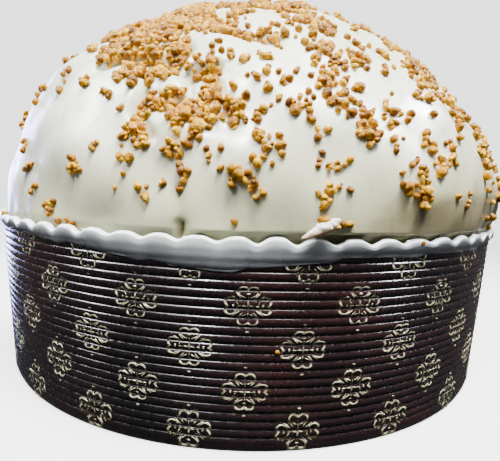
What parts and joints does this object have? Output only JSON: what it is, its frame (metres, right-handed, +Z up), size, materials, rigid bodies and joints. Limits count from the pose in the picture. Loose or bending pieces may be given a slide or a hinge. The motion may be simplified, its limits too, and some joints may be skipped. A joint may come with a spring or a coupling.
{
  "type": "panettone",
  "caption": "Low domed festive bread with white icing and nut crumbs, in its dark ribbed paper case with a scalloped, icing-coated rim.",
  "frame": {"origin": "middle of the paper case's flat floor, on the surface it stands on", "axes": "+Z up along the case's axis; -Y towards the front that the picture shows"},
  "size_m": [0.2223, 0.2213, 0.1538],
  "materials": {
    "crust": "baked golden-brown bread, matte",
    "icing": "white chocolate icing, soft gloss, with caramelised nut crumbs in it",
    "case_paper": "dark brown glossy ribbed baking paper with pale gold ornaments",
    "rim_coat": "thin white icing over the paper's edge, soft gloss"
  },
  "bodies": {
    "root": {"cake": "crust", "icing": "icing", "paper_case": "case_paper", "rim_icing": "rim_coat"}
  },
  "joints": []
}
